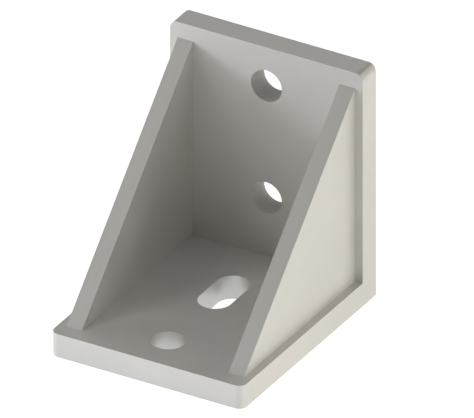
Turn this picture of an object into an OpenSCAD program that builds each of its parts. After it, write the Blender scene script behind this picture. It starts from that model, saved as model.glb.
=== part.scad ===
// Gusseted angle bracket, cast in one piece: two flanges at a right angle, braced by a
// triangular gusset near each side, with screw holes along the middle of both flanges.
// X runs across the width. The base lies on Z = 0, and the upright's flat back faces +Y.
// The origin is the middle of the base's underside.

/* [Flanges] */
// Width of both flanges
flange_width = 50; // [36:1:120]
// Depth of the base, from the flat back to the front edge
base_depth = 60; // [52:1:160]
// Height of the upright, from the underside to the top edge
upright_height = 60; // [52:1:160]
// Thickness of the base
base_thickness = 6; // [3:0.5:10]
// Thickness of the upright
upright_thickness = 6; // [3:0.5:10]
// Radius of the four free corners, two on each flange
corner_radius = 2; // [0.5:0.25:5]

/* [Gussets] */
// Thickness of each gusset
gusset_thickness = 4; // [2:0.5:8]
// Step from the side of the flanges in to the outer face of a gusset
gusset_inset = 2; // [0.5:0.5:6]
// Bare strip from the foot of a gusset to the front edge of the base
foot_setback = 4; // [1:0.5:12]
// Bare strip from the top of a gusset to the top edge of the upright
top_setback = 4; // [1:0.5:12]

/* [Screw holes] */
// Diameter of the round holes, and width of the slot
hole_diameter = 8; // [4:0.5:10]
// From the free edge of a flange to the centre of its outer hole
edge_distance = 10; // [7:0.5:14]
// From the outside of the heel to the centre of a flange's inner hole
heel_distance = 21; // [17:0.5:24]
// How far a screw can slide along the slot in the base, away from the heel
slot_travel = 8; // [2:0.5:12]

/* [Hidden] */
$fn = 96;
CAST_GREY = [0.80, 0.79, 0.76];
// How far a cutter runs past each face of the plate that it cuts
overrun = 1;

// Outline of a flange, from the heel at y = 0 to its free edge, whose corners are round
module flange_outline(length) {
    corner_x = flange_width / 2 - corner_radius;
    corner_y = length - corner_radius;
    translate([-flange_width / 2, 0]) square([flange_width, corner_y]);
    translate([-corner_x, 0]) square([2 * corner_x, length]);
    for (side = [-1, 1])
        translate([side * corner_x, corner_y]) circle(r = corner_radius);
}

// Cutter for a hole in a flange that lies on Z = 0, at a distance from the heel. With a
// travel it becomes a slot that runs on from there, away from the heel.
module hole_cutter(distance, thickness, travel = 0) {
    height = thickness + 2 * overrun;
    translate([0, distance, -overrun]) {
        cylinder(h = height, d = hole_diameter);
        if (travel > 0) {
            translate([0, travel, 0]) cylinder(h = height, d = hole_diameter);
            translate([-hole_diameter / 2, 0, 0]) cube([hole_diameter, travel, height]);
        }
    }
}

// One flange, flat on Z = 0, with a round outer hole and an inner hole or slot
module flange(length, thickness, travel = 0) {
    difference() {
        linear_extrude(thickness) flange_outline(length);
        hole_cutter(length - edge_distance, thickness);
        hole_cutter(heel_distance, thickness, travel);
    }
}

// Side profile of a gusset: x is the distance from the back and y the height. Its two
// legs reach into the flanges to mid thickness, so that the three become one solid.
module gusset_profile() {
    foot = base_depth - foot_setback;
    top = upright_height - top_setback;
    polygon([
        [upright_thickness / 2, base_thickness / 2],
        [foot, base_thickness / 2],
        [foot, base_thickness],
        [upright_thickness, top],
        [upright_thickness / 2, top]
    ]);
}

// The base runs forward from the heel, along -Y
module base() {
    mirror([0, 1, 0]) flange(base_depth, base_thickness, slot_travel);
}

// The upright rises from the heel, with its thickness towards -Y
module upright() {
    rotate([90, 0, 0]) flange(upright_height, upright_thickness);
}

// The gusset on the +X side, from its outer face inwards
module gusset() {
    translate([flange_width / 2 - gusset_inset, 0, 0])
        rotate([90, 0, -90])
            linear_extrude(gusset_thickness) gusset_profile();
}

module bracket() {
    color(CAST_GREY)
        translate([0, base_depth / 2, 0]) {
            base();
            upright();
            gusset();
            mirror([1, 0, 0]) gusset();
        }
}

bracket();
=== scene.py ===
"""Dresses the cast angle bracket for its picture.

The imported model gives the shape. This script adds the surface of the casting, a pale
floor, soft studio light and the camera. Lengths are in metres and angles in degrees.
"""
import math

import bpy
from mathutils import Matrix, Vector

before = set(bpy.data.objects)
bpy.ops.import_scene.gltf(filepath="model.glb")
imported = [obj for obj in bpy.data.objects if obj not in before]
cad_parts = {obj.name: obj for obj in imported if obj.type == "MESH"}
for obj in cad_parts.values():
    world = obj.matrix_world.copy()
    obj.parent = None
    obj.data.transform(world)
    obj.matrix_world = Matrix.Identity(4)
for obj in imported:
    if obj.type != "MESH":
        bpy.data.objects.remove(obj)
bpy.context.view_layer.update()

# The camera looks down into the open side from the front right, without perspective.
# An azimuth of 0 is the front and 90 is the right.
CAMERA_AZIMUTH = 30
CAMERA_ELEVATION = 30
CAMERA_DISTANCE = 0.5
CAMERA_TARGET = Vector((0.00625, 0.0, 0.03189))
PICTURE_WIDTH = 0.10648

# The casting: light warm grey and satin
METAL_COLOUR = (0.752, 0.732, 0.686)
METAL_SHARE = 0.5
METAL_ROUGHNESS = (0.50, 0.60)

# Faint cloudy patches. Over this range of the noise, the metal's colour is multiplied by
# the first shade up to the second, and its roughness goes from the lower to the higher.
PATCH_SIZE = 0.018
PATCH_DETAIL = 3.0
PATCH_RANGE = (0.3, 0.7)
PATCH_SHADES = (0.96, 1.04)

# Fine grain, as a bump
GRAIN_SIZE = 0.0004
GRAIN_DETAIL = 2.0
GRAIN_DEPTH = 0.00002
GRAIN_STRENGTH = 0.5

# The openings' axes lie in the plane X = 0. Each opening is given by the first and last
# centre of its ends, along Y in the base and along Z in the upright. The radius is a
# little over the real one, so that it takes in the walls.
BORE_RADIUS = 0.00403
BASE_OPENINGS = [(-0.020, -0.020), (0.001, 0.009)]
UPRIGHT_OPENINGS = [(0.021, 0.021), (0.050, 0.050)]

# Colour and roughness of the walls in the base and in the upright. The base's walls are
# smoother, and their lighter colour is painted light; the upright's walls are rougher, and
# their darker colour is painted shade.
SMOOTH_BORE_PAINTED_LIGHT = ((0.80, 0.80, 0.775), 0.35)
DULL_BORE_PAINTED_SHADE = ((0.66, 0.65, 0.62), 0.80)

# Floor. Its glow is what the camera and shiny surfaces see on top of the lamps' light.
FLOOR_REACH = 3.0
FLOOR_DROP = 0.00005
FLOOR_COLOUR = (0.8, 0.8, 0.8)
FLOOR_GLOW = 0.85

# The world beyond the floor: weak even light from all round, a white background for the
# camera, and for shiny surfaces a white backdrop up to a height, given as the sine of
# its elevation
DOME_LIGHT = 0.06
BACKGROUND_LIGHT = 1.0
BACKDROP_RISE = 0.10

# Colours of the lamps
WHITE = (1.0, 1.0, 1.0)
DAYLIGHT = (0.92, 0.94, 1.0)
SKY = (0.79, 0.86, 1.0)
PALE_WARM = (1.0, 0.96, 0.85)
WARM = (1.0, 0.925, 0.74)

# A soft box stands at an azimuth, elevation and distance from a target inside the
# bracket. It has a width and height, a power in watts and a colour.
BOX_TARGET = Vector((0.0, 0.0, 0.03))
SOFT_BOXES = {
    "left_box": ((-56, 41, 1.0), (0.45, 0.40), 1.10, PALE_WARM),
    "right_box": ((104, 40, 1.0), (0.40, 0.40), 0.98, PALE_WARM),
    "left_overhead_box": ((-90, 68, 1.0), (0.50, 0.40), 1.08, DAYLIGHT),
    "right_overhead_box": ((90, 68, 1.0), (0.50, 0.40), 0.76, SKY),
    "back_left_box": ((-150, 40, 1.0), (0.40, 0.40), 0.57, WHITE),
    "back_right_box": ((148, 26, 1.0), (0.20, 0.20), 0.70, WHITE),
}

# A strip stands just above the floor at an azimuth and distance and faces level. It has
# a width and height, a power in watts and a colour.
STRIP_LIFT = 0.001
STRIPS = {
    "left_strip": ((-65, 0.30), (0.09, 0.020), 0.272, SKY),
    "right_strip": ((100, 0.30), (0.09, 0.040), 0.155, WARM),
    "front_right_strip": ((70, 0.20), (0.06, 0.020), 0.034, SKY),
    "front_strip": ((0, 0.045), (0.07, 0.005), 0.00110, SKY),
}


def direction(azimuth, elevation):
    """Unit vector from the object towards a place around it."""
    turn = math.radians(azimuth)
    rise = math.radians(elevation)
    across = math.cos(rise)
    return Vector((math.sin(turn) * across, -math.cos(turn) * across, math.sin(rise)))


def link_object(name, data):
    """Makes an object for the data and shows it in the scene."""
    thing = bpy.data.objects.new(name, data)
    bpy.context.scene.collection.objects.link(thing)
    return thing


def aim(thing, place, target):
    """Puts a camera or lamp at a place, level and facing the target."""
    thing.location = place
    thing.rotation_mode = "QUATERNION"
    thing.rotation_quaternion = (target - place).to_track_quat("-Z", "Y")


def opaque(colour):
    """The colour with a full alpha, as sockets and ramps hold it."""
    return (*colour, 1)


def feed(tree, sockets, values):
    """Gives each socket its value, or links it where the value is a node's output."""
    for socket, value in zip(sockets, values):
        if isinstance(value, bpy.types.NodeSocket):
            tree.links.new(value, socket)
        else:
            socket.default_value = value


def add_node(tree, kind, **values):
    """Adds a node and feeds the inputs that are named, with _ for a space."""
    node = tree.nodes.new(kind)
    inputs = [node.inputs[name.replace("_", " ")] for name in values]
    feed(tree, inputs, values.values())
    return node


def math_node(tree, operation, first, second):
    """Works out one value from two. Returns the output that holds it."""
    node = add_node(tree, "ShaderNodeMath")
    node.operation = operation
    feed(tree, node.inputs, (first, second))
    return node.outputs[0]


def blend(tree, kind, share, first, second):
    """Turns the first value into the second by a share. Returns the output."""
    mix = add_node(tree, "ShaderNodeMix")
    mix.data_type = kind
    inputs = [socket for socket in mix.inputs if socket.enabled]
    feed(tree, inputs, (share, first, second))
    return next(socket for socket in mix.outputs if socket.enabled)


def ray_kinds(tree):
    """Two outputs: 1 for rays to the camera, straight or through glass, and 1 for gloss."""
    path = add_node(tree, "ShaderNodeLightPath").outputs
    clear = math_node(tree, "MAXIMUM", path["Is Camera Ray"], path["Is Transmission Ray"])
    return clear, path["Is Glossy Ray"]


def near_opening(tree, across, along, openings):
    """1 on the walls of the openings and 0 elsewhere."""
    found = None
    for first, last in openings:
        nearest = add_node(tree, "ShaderNodeClamp", Value=along, Min=first, Max=last)
        offset = math_node(tree, "SUBTRACT", along, nearest.outputs[0])
        flat = add_node(tree, "ShaderNodeCombineXYZ", X=across, Y=offset)
        distance = add_node(tree, "ShaderNodeVectorMath", Vector=flat.outputs[0])
        distance.operation = "LENGTH"
        inside = math_node(tree, "LESS_THAN", distance.outputs["Value"], BORE_RADIUS)
        found = inside if found is None else math_node(tree, "MAXIMUM", found, inside)
    return found


def patchy_metal(tree, place):
    """Colour and roughness of the metal with its faint patches, as two outputs."""
    noise = add_node(
        tree, "ShaderNodeTexNoise", Vector=place, Scale=1 / PATCH_SIZE, Detail=PATCH_DETAIL
    ).outputs["Fac"]
    shade = add_node(tree, "ShaderNodeValToRGB", Fac=noise)
    stops = shade.color_ramp.elements
    for stop, position, factor in zip(stops, PATCH_RANGE, PATCH_SHADES):
        stop.position = position
        stop.color = opaque(channel * factor for channel in METAL_COLOUR)

    low, high = PATCH_RANGE
    smooth, rough = METAL_ROUGHNESS
    dullness = add_node(
        tree, "ShaderNodeMapRange",
        Value=noise, From_Min=low, From_Max=high, To_Min=smooth, To_Max=rough,
    )
    return shade.outputs["Color"], dullness.outputs["Result"]


def cast_metal():
    """Satin cast metal with faint patches, a fine grain and another roughness on the
    openings' walls, with painted light on the base's walls and painted shade on the
    upright's.
    """
    material = bpy.data.materials.new("cast_metal")
    material.use_nodes = True
    tree = material.node_tree
    place = add_node(tree, "ShaderNodeTexCoord").outputs["Object"]
    across, back, up = add_node(tree, "ShaderNodeSeparateXYZ", Vector=place).outputs

    colour, roughness = patchy_metal(tree, place)
    # The walls' colours are painted light in the base's openings and painted shade in the
    # upright's holes.
    for along, openings, (bore_colour_painted_light_and_shade, bore_roughness) in (
        (back, BASE_OPENINGS, SMOOTH_BORE_PAINTED_LIGHT),
        (up, UPRIGHT_OPENINGS, DULL_BORE_PAINTED_SHADE),
    ):
        wall = near_opening(tree, across, along, openings)
        colour = blend(tree, "RGBA", wall, colour, opaque(bore_colour_painted_light_and_shade))
        roughness = blend(tree, "FLOAT", wall, roughness, bore_roughness)

    grain = add_node(
        tree, "ShaderNodeTexNoise", Vector=place, Scale=1 / GRAIN_SIZE, Detail=GRAIN_DETAIL
    ).outputs["Fac"]
    bump = add_node(
        tree, "ShaderNodeBump", Height=grain, Strength=GRAIN_STRENGTH, Distance=GRAIN_DEPTH
    )

    surface = tree.nodes["Principled BSDF"].inputs
    surface["Metallic"].default_value = METAL_SHARE
    tree.links.new(colour, surface["Base Color"])
    tree.links.new(roughness, surface["Roughness"])
    tree.links.new(bump.outputs["Normal"], surface["Normal"])
    return material


def floor_material():
    """A plain pale floor, which the camera and shiny surfaces see as white."""
    material = bpy.data.materials.new("floor")
    material.use_nodes = True
    tree = material.node_tree
    tree.nodes.clear()
    plain = add_node(tree, "ShaderNodeBsdfDiffuse", Color=opaque(FLOOR_COLOUR)).outputs[0]
    glow = add_node(tree, "ShaderNodeEmission", Strength=FLOOR_GLOW).outputs[0]
    white = add_node(tree, "ShaderNodeAddShader")
    feed(tree, white.inputs, (plain, glow))
    seen = math_node(tree, "MAXIMUM", *ray_kinds(tree))
    choice = add_node(tree, "ShaderNodeMixShader")
    feed(tree, choice.inputs, (seen, plain, white.outputs[0]))
    add_node(tree, "ShaderNodeOutputMaterial", Surface=choice.outputs[0])
    return material


def add_floor():
    """A wide floor just under the object, where its shadow falls."""
    reach = FLOOR_REACH
    corners = [(-reach, -reach), (reach, -reach), (reach, reach), (-reach, reach)]
    mesh = bpy.data.meshes.new("floor")
    mesh.from_pydata([(x, y, -FLOOR_DROP) for x, y in corners], [], [(0, 1, 2, 3)])
    mesh.materials.append(floor_material())
    link_object("floor", mesh)


def add_world():
    """Even light from all round, with a white background and backdrop."""
    world = bpy.data.worlds.new("studio")
    bpy.context.scene.world = world
    world.use_nodes = True
    tree = world.node_tree
    place = add_node(tree, "ShaderNodeTexCoord").outputs["Generated"]
    height = add_node(tree, "ShaderNodeSeparateXYZ", Vector=place).outputs["Z"]
    low = math_node(tree, "LESS_THAN", height, BACKDROP_RISE)
    clear, glossy = ray_kinds(tree)
    backdrop = math_node(tree, "MULTIPLY", low, glossy)
    seen = math_node(tree, "MAXIMUM", clear, backdrop)
    level = add_node(
        tree, "ShaderNodeMapRange", Value=seen, To_Min=DOME_LIGHT, To_Max=BACKGROUND_LIGHT
    )
    background = tree.nodes["Background"].inputs
    background["Color"].default_value = opaque(WHITE)
    tree.links.new(level.outputs["Result"], background["Strength"])


def add_lamp(name, place, target, size, power, colour):
    """A rectangular lamp that faces a target, unseen by the camera."""
    lamp = bpy.data.lights.new(name, "AREA")
    lamp.shape = "RECTANGLE"
    lamp.size, lamp.size_y = size
    lamp.energy = power
    lamp.color = colour
    holder = link_object(name, lamp)
    holder.visible_camera = False
    aim(holder, place, target)


def add_lamps():
    """The soft boxes around the object and the strips on the floor."""
    for name, ((azimuth, elevation, distance), size, power, colour) in SOFT_BOXES.items():
        place = BOX_TARGET + direction(azimuth, elevation) * distance
        add_lamp(name, place, BOX_TARGET, size, power, colour)
    for name, ((azimuth, distance), size, power, colour) in STRIPS.items():
        _, height = size
        target = Vector((0.0, 0.0, STRIP_LIFT + height / 2))
        place = target + direction(azimuth, 0) * distance
        add_lamp(name, place, target, size, power, colour)


def add_camera():
    """A camera without perspective at the photograph's angle."""
    camera = bpy.data.cameras.new("camera")
    camera.type = "ORTHO"
    camera.ortho_scale = PICTURE_WIDTH
    holder = link_object("camera", camera)
    back = direction(CAMERA_AZIMUTH, CAMERA_ELEVATION)
    aim(holder, CAMERA_TARGET + back * CAMERA_DISTANCE, CAMERA_TARGET)
    bpy.context.scene.camera = holder


bpy.context.scene.view_settings.view_transform = "Standard"
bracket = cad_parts["bracket"]
bracket.data.materials.clear()
bracket.data.materials.append(cast_metal())
add_floor()
add_world()
add_lamps()
add_camera()
